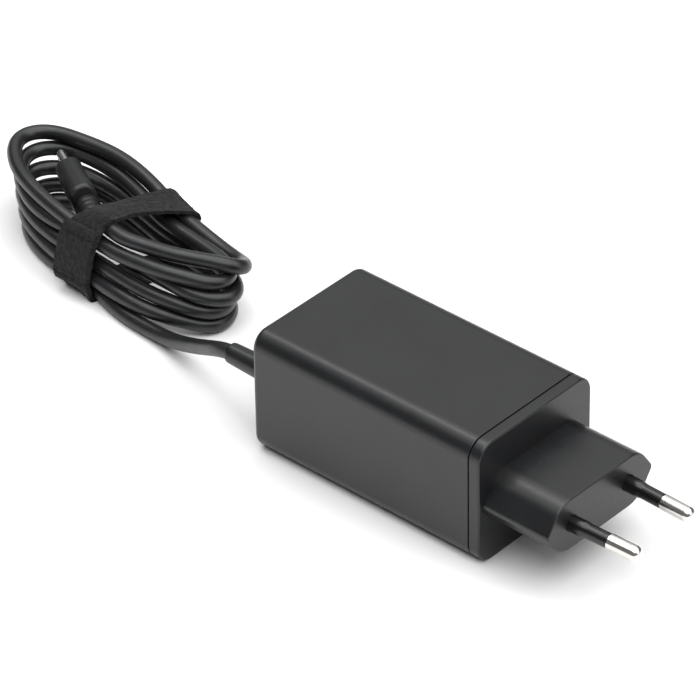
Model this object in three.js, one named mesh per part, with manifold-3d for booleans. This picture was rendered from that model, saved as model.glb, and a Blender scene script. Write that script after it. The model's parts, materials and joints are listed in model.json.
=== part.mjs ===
// A plug-in wall charger with a captive cable: a rounded box housing, a two-pin Europlug nose,
// the power supply inside it, and a cable wound into a hank, tied with a hook-and-loop strap,
// that ends in a USB-C plug. Millimetres, +Z up. The charger rests on its long flat underside.
// X runs along the charger, from the cable end (-X) to the plug pins (+X). The origin is on the
// resting plane, under the middle of the charger's length, on its centre line.
import * as THREE from 'three';
import { mergeVertices } from 'three/addons/utils/BufferGeometryUtils.js';
import Module from 'manifold-3d';

const wasm = await Module();
wasm.setup();

// ---- Driving dimensions -------------------------------------------------------------------

const gap = 0.3; // clearance left between neighbouring pieces

// Housing and front cap
const bodyLength = 65;
const bodyWidth = 37;
const bodyHeight = 31;
const bodyCornerRadius = 4.4; // along the four long edges
const backEdgeRadius = 1.5;
const wall = 2;
const capThickness = 2.8;
const capEdgeRadius = 0.4;

// Europlug nose and pins (CEE 7/16)
const noseWidth = 35.3;
const noseHeight = 13.2;
const noseFlatWidth = 26.1;
const noseLength = 18;
const noseCornerRadius = 6.5;
const noseSideRadius = 1.4;
const noseWall = 1.7;
const faceThickness = 2;
const pinLength = 18;
const pinRadius = 1.85;
const pinShankRadius = 1.35;
const pinSpacingAtFace = 18.6;
const pinSpacingAtTip = 17.5;
const sleeveLength = 10;
const sleeveRadius = 1.9; // at the nose
const sleeveTipRadius = 1.75;
const sleeveBore = 1.5;

// Strain relief and cable
const reliefLength = 13.6;
const reliefRadius = 2.9;
const reliefTipRadius = 2.45;
const cordRadius = 1.8;
const cordSides = 8;
const cordExitY = -10.5;
const cordExitZ = 15.4;

// Hank of wound cable: two round ends joined by straight sides
const hankWideEnd = { x: -137, y: 14.2, radius: 15.6 };
const hankNarrowEnd = { x: -88, y: 12.6, radius: 12 };
const hankBundle = 3.7; // width of the bundle of turns
const hankBottom = 1.7;
const hankTop = 20.2;

// Hook-and-loop strap round the hank
const strapWidth = 11.5;
const strapThickness = 1.4;
const strapX = -115.2; // centre of its width where it crosses y = 0
const strapSlant = 1 / 3; // it crosses the hank at an angle: x gained for each millimetre of y
const strapNearY = -2.3;
const strapFarY = 29.2;
const strapTop = 22;
const strapCornerRadius = 2;
const tabThickness = 1.2;
const tabLength = 14.8;
const tabTop = 17.8;

// USB-C plug at the end of the cable
const plugRoot = new THREE.Vector3(-122.9, 10.7, 15.6);
const plugAxis = new THREE.Vector3(-0.84, 0.53, -0.12).normalize(); // towards its contacts
const plugUpright = new THREE.Vector3(-0.33, -0.11, 0.94); // it lies on its narrow side
const overmouldLength = 15.5;
const overmouldWidth = 10.2;
const overmouldThickness = 6.2;
const shellWidth = 8.25;
const shellThickness = 2.4;
const shellReach = 6.65;
const shellWall = 0.3;
const shellInset = 2;
const plugReliefLength = 6;

// Boards inside the housing
const boardThickness = 1.2;
const boardZ = 5;
const boardWidth = 30.4;

// ---- Derived places -----------------------------------------------------------------------

const backX = -44.2; // the housing's back face
const frontX = backX + bodyLength;
const seamX = frontX - capThickness - gap; // where the housing ends and the cap begins
const noseX = frontX + noseLength;
const midZ = bodyHeight / 2;
const boardTop = boardZ + boardThickness + gap;

// ---- Materials ----------------------------------------------------------------------------

const finishes = {
  blackPlastic: { color: 0x2c2d2f, roughness: 0.5, metalness: 0 },
  sleevePlastic: { color: 0x191a1b, roughness: 0.45, metalness: 0 },
  nickel: { color: 0xc8c8c4, roughness: 0.22, metalness: 1 },
  brass: { color: 0xb89650, roughness: 0.35, metalness: 1 },
  cordJacket: { color: 0x1d1e1f, roughness: 0.55, metalness: 0 },
  strapFabric: { color: 0x161616, roughness: 0.95, metalness: 0 },
  shellSteel: { color: 0xb9bbbe, roughness: 0.28, metalness: 1 },
  gold: { color: 0xd4af5a, roughness: 0.3, metalness: 1 },
  boardGreen: { color: 0x1f5a3a, roughness: 0.6, metalness: 0 },
  ferrite: { color: 0x35363a, roughness: 0.8, metalness: 0 },
  copper: { color: 0xb06a3a, roughness: 0.35, metalness: 1 },
  componentBlue: { color: 0x2c5fa8, roughness: 0.5, metalness: 0 },
  componentYellow: { color: 0xc9a227, roughness: 0.55, metalness: 0 },
  componentBlack: { color: 0x222225, roughness: 0.6, metalness: 0 },
  componentSleeve: { color: 0x24303f, roughness: 0.4, metalness: 0 },
  aluminium: { color: 0xb5b8bb, roughness: 0.4, metalness: 1 },
  linerFilm: { color: 0xe8e3d0, roughness: 0.6, metalness: 0 },
  wireRed: { color: 0xa32020, roughness: 0.5, metalness: 0 },
  wireBlack: { color: 0x1a1a1a, roughness: 0.5, metalness: 0 },
};

const charger = new THREE.Group();

// Adds one named piece, with its own material, to a group.
function addPiece(name, geometry, finish, group = charger) {
  const mesh = new THREE.Mesh(geometry, new THREE.MeshStandardMaterial(finishes[finish]));
  mesh.name = name;
  group.add(mesh);
  return mesh;
}

// ---- Booleans -----------------------------------------------------------------------------

function toSolid(geometry) {
  const bare = geometry.clone();
  bare.deleteAttribute('normal');
  bare.deleteAttribute('uv');
  const merged = mergeVertices(bare, 1e-5);
  const vertProperties = new Float32Array(merged.attributes.position.array);
  const triVerts = new Uint32Array(merged.index.array);
  return new wasm.Manifold(new wasm.Mesh({ numProp: 3, vertProperties, triVerts }));
}

function toGeometry(solid) {
  const mesh = solid.getMesh();
  const geometry = new THREE.BufferGeometry();
  geometry.setAttribute('position', new THREE.BufferAttribute(mesh.vertProperties, 3));
  geometry.setIndex(new THREE.BufferAttribute(mesh.triVerts, 1));
  geometry.computeVertexNormals();
  return geometry;
}

function cut(geometry, ...tools) {
  return toGeometry(tools.reduce((solid, tool) => solid.subtract(toSolid(tool)), toSolid(geometry)));
}

function join(geometry, ...others) {
  return toGeometry(others.reduce((solid, other) => solid.add(toSolid(other)), toSolid(geometry)));
}

// ---- Outlines -----------------------------------------------------------------------------

// A closed polygon whose corners are rounded, each by its own radius.
function roundedPolygon(corners, radii) {
  const shape = new THREE.Shape();
  const points = corners.map(([x, y]) => new THREE.Vector2(x, y));
  points.forEach((corner, i) => {
    const toPrevious = points[(i + points.length - 1) % points.length].clone().sub(corner).normalize();
    const toNext = points[(i + 1) % points.length].clone().sub(corner).normalize();
    const turn = Math.PI - toPrevious.angleTo(toNext);
    const reach = radii[i] * Math.tan(turn / 2);
    const start = corner.clone().addScaledVector(toPrevious, reach);
    const end = corner.clone().addScaledVector(toNext, reach);
    if (i === 0) shape.moveTo(start.x, start.y);
    else shape.lineTo(start.x, start.y);
    shape.quadraticCurveTo(corner.x, corner.y, end.x, end.y);
  });
  shape.closePath();
  return shape;
}

function roundedRectangle(width, height, radius, centreX = 0, centreY = 0) {
  const w = width / 2;
  const h = height / 2;
  const shape = new THREE.Shape();
  shape.moveTo(centreX - w + radius, centreY - h);
  shape.absarc(centreX + w - radius, centreY - h + radius, radius, -Math.PI / 2, 0);
  shape.absarc(centreX + w - radius, centreY + h - radius, radius, 0, Math.PI / 2);
  shape.absarc(centreX - w + radius, centreY + h - radius, radius, Math.PI / 2, Math.PI);
  shape.absarc(centreX - w + radius, centreY - h + radius, radius, Math.PI, Math.PI * 1.5);
  shape.closePath();
  return shape;
}

// The Europlug's flattened hexagon, drawn inwards by an inset, centred on y = 0, z = midZ.
function noseOutline(inset) {
  const halfWidth = noseWidth / 2 - inset;
  const halfHeight = noseHeight / 2 - inset;
  const halfFlat = noseFlatWidth / 2 - inset * 0.4;
  const corner = Math.max(noseCornerRadius - inset, 1);
  return roundedPolygon(
    [
      [-halfFlat, midZ - halfHeight],
      [halfFlat, midZ - halfHeight],
      [halfWidth, midZ],
      [halfFlat, midZ + halfHeight],
      [-halfFlat, midZ + halfHeight],
      [-halfWidth, midZ],
    ],
    [corner, corner, noseSideRadius, corner, corner, noseSideRadius],
  );
}

// Two circles joined by their outer tangents, each drawn inwards by an inset.
function hankOutline(inset, pathClass = THREE.Shape) {
  const wide = hankWideEnd;
  const narrow = hankNarrowEnd;
  const axis = Math.atan2(narrow.y - wide.y, narrow.x - wide.x);
  const distance = Math.hypot(narrow.x - wide.x, narrow.y - wide.y);
  const spread = Math.acos((wide.radius - narrow.radius) / distance);
  const path = new pathClass();
  path.absarc(narrow.x, narrow.y, narrow.radius - inset, axis - spread, axis + spread);
  path.absarc(wide.x, wide.y, wide.radius - inset, axis + spread, axis - spread + 2 * Math.PI);
  path.closePath();
  return path;
}

// ---- Solids -------------------------------------------------------------------------------

const alongX = new THREE.Matrix4().makeBasis(
  new THREE.Vector3(0, 1, 0),
  new THREE.Vector3(0, 0, 1),
  new THREE.Vector3(1, 0, 0),
);

// A bar whose outline lies in Y and Z and which runs from one x to another.
function barAlongX(outline, fromX, toX, edgeRadius = 0, curveSegments = 5) {
  const geometry = new THREE.ExtrudeGeometry(outline, {
    depth: toX - fromX - 2 * edgeRadius,
    bevelEnabled: edgeRadius > 0,
    bevelSize: edgeRadius,
    bevelOffset: -edgeRadius,
    bevelThickness: edgeRadius,
    bevelSegments: edgeRadius > 1 ? 3 : 1,
    curveSegments,
  });
  geometry.translate(0, 0, fromX + edgeRadius);
  return geometry.applyMatrix4(alongX);
}

// A prism whose outline lies in X and Y and which stands from one height to another.
function prism(outline, fromZ, toZ, curveSegments = 5) {
  const geometry = new THREE.ExtrudeGeometry(outline, {
    depth: toZ - fromZ,
    bevelEnabled: false,
    curveSegments,
  });
  return geometry.translate(0, 0, fromZ);
}

function block(sizeX, sizeY, sizeZ, x, y, z) {
  return new THREE.BoxGeometry(sizeX, sizeY, sizeZ).translate(x, y, z);
}

// A turned solid: profile points are [radius, distance along the axis]; the axis points to +X.
function turnedAlongX(profile, segments = 20) {
  const geometry = new THREE.LatheGeometry(profile.map(([r, x]) => new THREE.Vector2(r, x)), segments);
  return geometry.rotateZ(-Math.PI / 2);
}

// A turned solid that stands up: profile points are [radius, height].
function turnedUpright(profile, x, y, z, segments = 20) {
  const geometry = new THREE.LatheGeometry(profile.map(([r, h]) => new THREE.Vector2(r, h)), segments);
  return geometry.rotateX(Math.PI / 2).translate(x, y, z);
}

// A round flexible length along a route of points.
function tube(points, radius, steps, sides = cordSides) {
  const section = new THREE.Shape(
    Array.from({ length: sides }, (_, i) => {
      const angle = (i * 2 * Math.PI) / sides;
      return new THREE.Vector2(radius * Math.cos(angle), radius * Math.sin(angle));
    }),
  );
  const route = new THREE.CatmullRomCurve3(points.map((point) => new THREE.Vector3(...point)));
  return new THREE.ExtrudeGeometry(section, { steps, extrudePath: route, bevelEnabled: false });
}

// ---- Housing, cap and nose ----------------------------------------------------------------

function bodyOutline(inset, extraRadius = 0) {
  const radius = Math.max(bodyCornerRadius - inset, 1) + extraRadius;
  return roundedRectangle(bodyWidth - 2 * inset, bodyHeight - 2 * inset, radius, 0, midZ);
}

function mainHousing() {
  const bar = barAlongX(bodyOutline(0), backX, frontX, backEdgeRadius);
  const front = block(20, bodyWidth + 10, bodyHeight + 10, seamX + 10, 0, midZ);
  const cavity = barAlongX(bodyOutline(wall), backX + wall, frontX + 10);
  const cordHole = turnedAlongX([[0, -4], [2.6, -4], [2.6, 4], [0, 4]], 16);
  cordHole.translate(backX + wall / 2, cordExitY, cordExitZ);
  return cut(bar, front, cavity, cordHole);
}

// The two round holes that the pins pass through, as bars to cut with.
function pinHolesAlongX(fromX, toX, radius) {
  return [-1, 1].map((side) => {
    const hole = turnedAlongX([[0, fromX], [radius, fromX], [radius, toX], [0, toX]], 16);
    return hole.translate(0, (side * pinSpacingAtFace) / 2, midZ);
  });
}

function frontCap() {
  const plate = barAlongX(bodyOutline(0), frontX - capThickness, frontX, capEdgeRadius);
  const skirt = barAlongX(bodyOutline(wall + gap), frontX - capThickness - 4, frontX - 1);
  const nose = barAlongX(noseOutline(0), frontX - 1, noseX, 0.5);
  const skirtBore = barAlongX(bodyOutline(wall + gap + 1.3), frontX - 20, frontX - capThickness + 1);
  const noseBore = barAlongX(noseOutline(noseWall), frontX - 20, noseX - faceThickness);
  const pinHoles = pinHolesAlongX(noseX - 5, noseX + 5, sleeveRadius + gap);
  return cut(join(plate, skirt, nose), skirtBore, noseBore, ...pinHoles);
}

addPiece('main_housing', mainHousing(), 'blackPlastic');
addPiece('front_cap', frontCap(), 'blackPlastic');

// ---- Pins, their carrier and their terminals ----------------------------------------------

const pinTilt = Math.atan((pinSpacingAtFace - pinSpacingAtTip) / 2 / pinLength);
const pinBackX = noseX - 11; // where the pins end inside the nose

addPiece(
  'pin_carrier',
  cut(
    barAlongX(roundedRectangle(27, 7.6, 1, 0, midZ), noseX - 9, noseX - 4),
    ...pinHolesAlongX(noseX - 15, noseX + 5, sleeveRadius + gap + 0.2),
  ),
  'componentBlack',
);

// Both pins lean towards each other by a small angle, as the standard allows, so they grip.
function leaning(geometry, side) {
  return geometry.rotateZ(-side * pinTilt).translate(noseX, (side * pinSpacingAtFace) / 2, midZ);
}

function contactPin(side) {
  const back = pinBackX - noseX;
  const tipRound = 1.3;
  return leaning(
    turnedAlongX([
      [0, back],
      [pinShankRadius, back],
      [pinShankRadius, sleeveLength],
      [pinRadius, sleeveLength + 0.1],
      [pinRadius, pinLength - tipRound],
      [pinRadius * 0.87, pinLength - tipRound * 0.5],
      [pinRadius * 0.5, pinLength - tipRound * 0.13],
      [0, pinLength],
    ]),
    side,
  );
}

function pinSleeve(side) {
  const back = pinBackX - noseX + 3;
  const front = sleeveLength - 0.05;
  return leaning(
    turnedAlongX([
      [sleeveBore, back],
      [sleeveRadius, back],
      [sleeveRadius, 3.2],
      [sleeveTipRadius, 4.6],
      [sleeveTipRadius, front],
      [sleeveBore, front],
      [sleeveBore, back],
    ]),
    side,
  );
}

// A bent strip that takes a pin's current down to the main board.
function pinTerminal(side) {
  const stripWidth = 3;
  const stripThickness = 0.6;
  const pinEndX = pinBackX - gap;
  const footX = frontX - 9;
  const outline = new THREE.Shape();
  outline.moveTo(footX, boardTop);
  outline.lineTo(footX + stripThickness, boardTop);
  outline.lineTo(footX + stripThickness, midZ - stripThickness);
  outline.lineTo(pinEndX, midZ - stripThickness);
  outline.lineTo(pinEndX, midZ);
  outline.lineTo(footX, midZ);
  outline.closePath();
  const geometry = new THREE.ExtrudeGeometry(outline, { depth: stripWidth, bevelEnabled: false });
  return geometry.rotateX(Math.PI / 2).translate(0, side * 9.6 + stripWidth / 2, 0);
}

[['left', 1], ['right', -1]].forEach(([name, side]) => {
  addPiece(`contact_pin_${name}`, contactPin(side), 'nickel');
  addPiece(`pin_sleeve_${name}`, pinSleeve(side), 'sleevePlastic');
  addPiece(`pin_terminal_${name}`, pinTerminal(side), 'brass');
});

// ---- Power supply inside the housing ------------------------------------------------------

// A thin film folded up round the underside and sides of the main board.
function insulatingLiner() {
  const inset = wall + gap;
  const film = 0.4;
  const ends = [backX + wall + gap, seamX - 5];
  const sheet = barAlongX(bodyOutline(inset), ...ends);
  const inside = barAlongX(bodyOutline(inset + film), ends[0] - 5, ends[1] + 5);
  const above = block(100, bodyWidth, bodyHeight, 0, 0, bodyHeight * 1.25);
  return cut(sheet, inside, above);
}

addPiece('insulating_liner', insulatingLiner(), 'linerFilm');
addPiece(
  'main_board',
  block(51, boardWidth, boardThickness, backX + 31, 0, boardZ + boardThickness / 2),
  'boardGreen',
);

// Mains input: fuse, surge absorber, suppression capacitors and line filter.
addPiece(
  'fuse',
  turnedUpright([[0, 0], [2.2, 0], [2.2, 6.6], [1.6, 7.2], [0, 7.2]], frontX - 13, -6, boardTop, 14),
  'componentBlack',
);
addPiece(
  'varistor',
  turnedAlongX([[0, -1.4], [3.4, -1.4], [4, -0.7], [4, 0.7], [3.4, 1.4], [0, 1.4]], 18)
    .translate(frontX - 13, 4, boardTop + 4),
  'componentBlue',
);
addPiece(
  'x_capacitor',
  prism(roundedRectangle(6, 13, 0.6, frontX - 21, -7.2), boardTop, boardTop + 11, 2),
  'componentYellow',
);
addPiece(
  'y_capacitor',
  turnedAlongX([[0, -1.2], [2.6, -1.2], [3.1, -0.6], [3.1, 0.6], [2.6, 1.2], [0, 1.2]], 16)
    .translate(frontX - 26.4, -11.6, boardTop + 3.1),
  'componentBlue',
);

const filterX = frontX - 21;
const filterY = 7.2;

function lineFilterCore() {
  const outline = roundedRectangle(13, 11, 0.8, 0, 0);
  outline.holes.push(roundedRectangle(7, 5, 0.4, 0, 0));
  const frame = new THREE.ExtrudeGeometry(outline, { depth: 3, bevelEnabled: false, curveSegments: 2 });
  return frame.applyMatrix4(alongX).translate(filterX - 1.5, filterY, boardTop + 6.6);
}

// A coil wound round one upright leg of the filter's frame.
function lineFilterWinding(side) {
  const outline = roundedRectangle(5.8, 5.2, 1, 0, 0);
  outline.holes.push(roundedRectangle(3.6, 3.6, 0.2, 0, 0));
  const ring = prism(outline, -2.2, 2.2, 3);
  return ring.translate(filterX, filterY + side * 5, boardTop + 6.6);
}

addPiece('line_filter_core', lineFilterCore(), 'ferrite');
addPiece('line_filter_winding_left', lineFilterWinding(1), 'copper');
addPiece('line_filter_winding_right', lineFilterWinding(-1), 'copper');

// Rectifier and the two reservoir capacitors.
addPiece(
  'bridge_rectifier',
  prism(roundedRectangle(3.2, 11, 0.5, frontX - 27.7, -2), boardTop, boardTop + 8, 2),
  'componentBlack',
);

// An aluminium can in a shrunk sleeve, with the crimp groove near its foot.
function canCapacitor(radius, height, x, y) {
  const profile = [
    [0, 0],
    [radius - 0.3, 0],
    [radius, 0.3],
    [radius, 1.6],
    [radius - 0.35, 2],
    [radius, 2.4],
    [radius, height - 0.4],
    [radius - 0.4, height],
    [0, height],
  ];
  return turnedUpright(profile, x, y, boardTop, 18);
}

const reservoirX = frontX - 35.3;
addPiece('bulk_capacitor_left', canCapacitor(5, 19, reservoirX, 5.6), 'componentSleeve');
addPiece('bulk_capacitor_right', canCapacitor(5, 19, reservoirX, -5.2), 'componentSleeve');

// Switching stage with its heat spreader.
addPiece('heat_spreader', block(18, 0.8, 17, frontX - 33, 13.6, boardTop + 8.5), 'aluminium');
addPiece('power_switch', block(8, 1.5, 8, frontX - 34, 12.1, boardTop + 9), 'componentBlack');

// Transformer: two E-shaped core halves round a wound bobbin.
const transformerX = backX + 16;
const coreLength = 12;
const coreWidth = 18;
const coreHalfHeight = 7.6;
const coreWeb = 2.6;
const coreSideLeg = 2.6;
const coreCentreLeg = 5;

function transformerCoreHalf(flip) {
  const half = coreWidth / 2;
  const outline = new THREE.Shape();
  outline.moveTo(-half, 0);
  outline.lineTo(half, 0);
  outline.lineTo(half, coreHalfHeight);
  outline.lineTo(half - coreSideLeg, coreHalfHeight);
  outline.lineTo(half - coreSideLeg, coreWeb);
  outline.lineTo(coreCentreLeg / 2, coreWeb);
  outline.lineTo(coreCentreLeg / 2, coreHalfHeight);
  outline.lineTo(-coreCentreLeg / 2, coreHalfHeight);
  outline.lineTo(-coreCentreLeg / 2, coreWeb);
  outline.lineTo(-half + coreSideLeg, coreWeb);
  outline.lineTo(-half + coreSideLeg, coreHalfHeight);
  outline.lineTo(-half, coreHalfHeight);
  outline.closePath();
  const geometry = barAlongX(outline, -coreLength / 2, coreLength / 2);
  if (flip) geometry.rotateX(Math.PI);
  const z = flip ? boardTop + 2 * coreHalfHeight + gap : boardTop;
  return geometry.translate(transformerX, 1.6, z);
}

function transformerWinding() {
  const outline = roundedRectangle(coreLength + 4, 12, 2);
  outline.holes.push(roundedRectangle(coreLength + 0.6, coreCentreLeg + 0.6, 0.2));
  const height = 2 * (coreHalfHeight - coreWeb) - gap;
  const ring = prism(outline, -height / 2, height / 2, 4);
  return ring.translate(transformerX, 1.6, boardTop + coreHalfHeight + gap / 2);
}

addPiece('transformer_core_lower', transformerCoreHalf(false), 'ferrite');
addPiece('transformer_core_upper', transformerCoreHalf(true), 'ferrite');
addPiece('transformer_winding', transformerWinding(), 'componentYellow');

// Output side: smoothing capacitors, and a small upright board with the USB controller.
addPiece('output_capacitor_inner', canCapacitor(2.9, 10, backX + 21, -11.6), 'componentSleeve');
addPiece('output_capacitor_outer', canCapacitor(2.9, 10, backX + 14.5, -11.6), 'componentSleeve');
addPiece('controller_board', block(16, 1, 14, backX + 12.6, 13.6, boardTop + 7), 'boardGreen');
addPiece('controller_chip', block(4, 0.9, 4, backX + 12.6, 12.35, boardTop + 8), 'componentBlack');

// ---- Strain relief and the wires behind it ------------------------------------------------

function strainRelief() {
  const body = turnedAlongX([
    [0, -reliefLength],
    [reliefTipRadius - 0.5, -reliefLength],
    [reliefTipRadius, -reliefLength + 0.6],
    [reliefTipRadius + 0.1, -6],
    [reliefRadius, -1.2],
    [reliefRadius, -gap],
    [2.3, -gap],
    [2.3, wall + gap],
    [4.2, wall + gap],
    [4.2, wall + gap + 1.8],
    [0, wall + gap + 1.8],
  ]);
  return body.translate(backX, cordExitY, cordExitZ);
}

addPiece('strain_relief', strainRelief(), 'blackPlastic');

// Two wires drop from the strain relief's inner flange to the main board.
[['positive', 1.3, 'wireRed'], ['negative', -1.3, 'wireBlack']].forEach(([name, offset, finish]) => {
  const startX = backX + wall + 2 * gap + 1.8;
  const y = cordExitY + offset;
  const route = [
    [startX, y, cordExitZ],
    [startX + 1.6, y, cordExitZ - 0.5],
    [startX + 2.8, y, cordExitZ - 2.4],
    [startX + 3, y, boardTop + 2],
    [startX + 3, y, boardTop],
  ];
  addPiece(`output_wire_${name}`, tube(route, 0.8, 10), finish);
});

// ---- Cable ---------------------------------------------------------------------------------

// Down from the strain relief to the resting plane and along to the hank.
const leadRoute = [
  [-58.2, -10.5, 15.4],
  [-60.2, -10.4, 15.1],
  [-63.6, -9.4, 13.2],
  [-67.5, -7.7, 10.4],
  [-72.6, -6.0, 7.2],
  [-76.5, -5.2, 5.4],
  [-80.0, -4.8, 4.2],
  [-84.0, -4.5, 3.3],
  [-88.5, -4.2, 2.7],
  [-93.0, -3.9, 2.4],
  [-97.5, -3.6, 2.3],
  [-101.5, -3.3, 2.3],
];
addPiece('cord_lead', tube(leadRoute, cordRadius, 12), 'cordJacket');

function cordHank() {
  const outline = hankOutline(0);
  outline.holes.push(hankOutline(hankBundle, THREE.Path));
  return prism(outline, hankBottom, hankTop, 14);
}

addPiece('cord_hank', cordHank(), 'cordJacket');

// From the inside of the hank to the plug's own relief.
const tailStart = plugRoot.clone().addScaledVector(plugAxis, -plugReliefLength - 2 * gap);
const tailRoute = [tailStart.toArray(), [-116.2, 6.45, 16.6], [-115.1, 5.85, 16.75]];
addPiece('cord_tail', tube(tailRoute, cordRadius, 2), 'cordJacket');

// ---- Strap --------------------------------------------------------------------------------

// Leans a solid over so that x grows with y, as the strap crosses the hank at an angle.
const slant = new THREE.Matrix4().set(1, strapSlant, 0, 0, 0, 1, 0, 0, 0, 0, 1, 0, 0, 0, 0, 1);

function hankStrap() {
  const width = strapFarY - strapNearY;
  const centreY = (strapFarY + strapNearY) / 2;
  const outline = roundedRectangle(width, strapTop, strapCornerRadius, centreY, strapTop / 2);
  const inner = roundedRectangle(
    width - 2 * strapThickness,
    strapTop - 2 * strapThickness,
    strapCornerRadius - strapThickness,
    centreY,
    strapTop / 2,
  );
  outline.holes.push(inner);
  return barAlongX(outline, -strapWidth / 2, strapWidth / 2).applyMatrix4(slant).translate(strapX, 0, 0);
}

// The strap's free end lies on its near side and can be peeled up.
function strapTab() {
  const outline = roundedRectangle(
    tabThickness,
    tabLength,
    0.5,
    strapNearY - gap - tabThickness / 2,
    tabTop - tabLength / 2,
  );
  const centreX = strapX + (strapNearY - gap - tabThickness / 2) * strapSlant;
  const plate = barAlongX(outline, -strapWidth / 2, strapWidth / 2, 0, 2);
  return plate.translate(centreX, 0, 0);
}

addPiece('hank_strap', hankStrap(), 'strapFabric');
addPiece('strap_tab', strapTab(), 'strapFabric');

// ---- USB-C plug ---------------------------------------------------------------------------

// The plug's own frame: x towards its contacts, y across its width, z through its thickness.
const plug = new THREE.Group();
const plugThin = plugAxis.clone().cross(plugUpright).normalize();
const plugWide = plugThin.clone().cross(plugAxis).normalize();
plug.quaternion.setFromRotationMatrix(new THREE.Matrix4().makeBasis(plugAxis, plugWide, plugThin));
plug.position.copy(plugRoot);
charger.add(plug);

function overmould() {
  const outline = roundedRectangle(overmouldWidth, overmouldThickness, 2.4);
  const body = barAlongX(outline, 0, overmouldLength, 0.6, 4);
  const pocket = barAlongX(
    roundedRectangle(shellWidth + 2 * gap, shellThickness + 2 * gap, 1.3),
    overmouldLength - shellInset - 6.5,
    overmouldLength + 5,
    0,
    4,
  );
  return cut(body, pocket);
}

function plugShell() {
  const outline = roundedRectangle(shellWidth, shellThickness, 1.15);
  outline.holes.push(
    roundedRectangle(shellWidth - 2 * shellWall, shellThickness - 2 * shellWall, 0.85),
  );
  return barAlongX(outline, overmouldLength - shellInset, overmouldLength + shellReach, 0, 4);
}

function plugRelief() {
  return turnedAlongX(
    [
      [0, -plugReliefLength - gap],
      [2.1, -plugReliefLength - gap],
      [2.3, -plugReliefLength + 0.4],
      [2.5, -1.6],
      [2.7, -gap],
      [0, -gap],
    ],
    16,
  );
}

const insideShell = shellThickness / 2 - shellWall;
const contactPlateThickness = 0.3;

function contactPlate(side) {
  const z = side * (insideShell - 0.1 - contactPlateThickness / 2);
  return block(6, 6.6, contactPlateThickness, overmouldLength + 2.6, 0, z);
}

addPiece('plug_overmould', overmould(), 'blackPlastic', plug);
addPiece('plug_strain_relief', plugRelief(), 'blackPlastic', plug);
addPiece('plug_shell', plugShell(), 'shellSteel', plug);
addPiece('plug_insulator', block(1.4, 6.8, 1.5, overmouldLength - 1.2, 0, 0), 'componentBlack', plug);
addPiece('plug_contacts_upper', contactPlate(1), 'gold', plug);
addPiece('plug_contacts_lower', contactPlate(-1), 'gold', plug);
addPiece('plug_board', block(5, 7, 0.8, overmouldLength - 5.4, 0, 0), 'boardGreen', plug);

export default charger;
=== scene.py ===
import json
import math

import bmesh
import bpy
import numpy as np
from mathutils import Matrix, Vector


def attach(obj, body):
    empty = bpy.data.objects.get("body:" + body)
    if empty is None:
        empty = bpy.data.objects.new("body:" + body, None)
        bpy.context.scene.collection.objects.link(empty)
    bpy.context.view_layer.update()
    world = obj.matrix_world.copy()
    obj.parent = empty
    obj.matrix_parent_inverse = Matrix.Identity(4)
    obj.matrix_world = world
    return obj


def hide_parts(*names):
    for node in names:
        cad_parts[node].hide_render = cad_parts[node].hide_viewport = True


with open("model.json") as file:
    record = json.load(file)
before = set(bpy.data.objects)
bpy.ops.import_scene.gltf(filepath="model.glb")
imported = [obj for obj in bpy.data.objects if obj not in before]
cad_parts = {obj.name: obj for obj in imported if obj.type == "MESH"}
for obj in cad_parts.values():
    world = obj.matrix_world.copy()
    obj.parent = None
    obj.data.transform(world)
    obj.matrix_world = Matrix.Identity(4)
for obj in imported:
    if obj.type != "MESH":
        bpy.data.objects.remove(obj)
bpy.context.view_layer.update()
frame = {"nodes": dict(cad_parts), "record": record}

MM = 0.001
BODY = "charger"
TAB_BODY = "strap_tab"

# ---- Sizes, in millimetres, as in the CAD model --------------------------------------------

BACK_X, FRONT_X = -44.2, 20.8
BODY_W, BODY_H, BODY_R = 37.0, 31.0, 4.4
BACK_EDGE = 1.5
WALL = 2.0
CAP_T = 2.8
SEAM_X = FRONT_X - CAP_T - 0.3
MID_Z = BODY_H / 2
NOSE_X = FRONT_X + 18.0
NOSE_W, NOSE_H, NOSE_FLAT = 35.3, 13.2, 26.1
PIN_Y, PIN_R, PIN_LEN = 9.3, 1.85, 18.0
PIN_TILT = math.atan(0.55 / PIN_LEN)
SLEEVE_LEN, SLEEVE_R, SLEEVE_TIP_R = 10.0, 1.9, 1.72
EXIT = (-57.7, -10.5, 15.4)
CORD_R = 1.8
PLUG_ROOT = Vector((-122.9, 10.7, 15.6))
PLUG_AXIS = Vector((-0.84, 0.53, -0.12)).normalized()
PLUG_THIN = PLUG_AXIS.cross(Vector((-0.33, -0.11, 0.94))).normalized()
PLUG_WIDE = PLUG_THIN.cross(PLUG_AXIS).normalized()
OVERMOULD_LEN = 15.5


# ---- Camera ----------------------------------------------------------------------------------

VIEW_AZIMUTH, VIEW_ELEVATION, VIEW_ROLL = 42.374, 35.405, -1.018
VIEW_AIM, VIEW_DISTANCE = (-32.95, 1.09, 21.28), 1081.39
LENS = 254.7


def make_camera():
    azimuth, elevation, roll = (math.radians(v) for v in (VIEW_AZIMUTH, VIEW_ELEVATION, VIEW_ROLL))
    back = Vector((math.sin(azimuth) * math.cos(elevation), -math.cos(azimuth) * math.cos(elevation),
                   math.sin(elevation)))
    level = Vector((math.cos(azimuth), math.sin(azimuth), 0))
    upright = back.cross(level)
    right = level * math.cos(roll) + upright * math.sin(roll)
    up = upright * math.cos(roll) - level * math.sin(roll)
    aim = Vector(VIEW_AIM) * MM
    data = bpy.data.cameras.new("camera")
    data.sensor_width = 36
    data.lens = LENS
    data.clip_start, data.clip_end = 0.05, 20
    camera = bpy.data.objects.new("camera", data)
    place = Matrix((right, up, back)).transposed().to_4x4()
    place.translation = aim + back * VIEW_DISTANCE * MM
    camera.matrix_world = place
    bpy.context.scene.collection.objects.link(camera)
    bpy.context.scene.camera = camera


make_camera()

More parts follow.
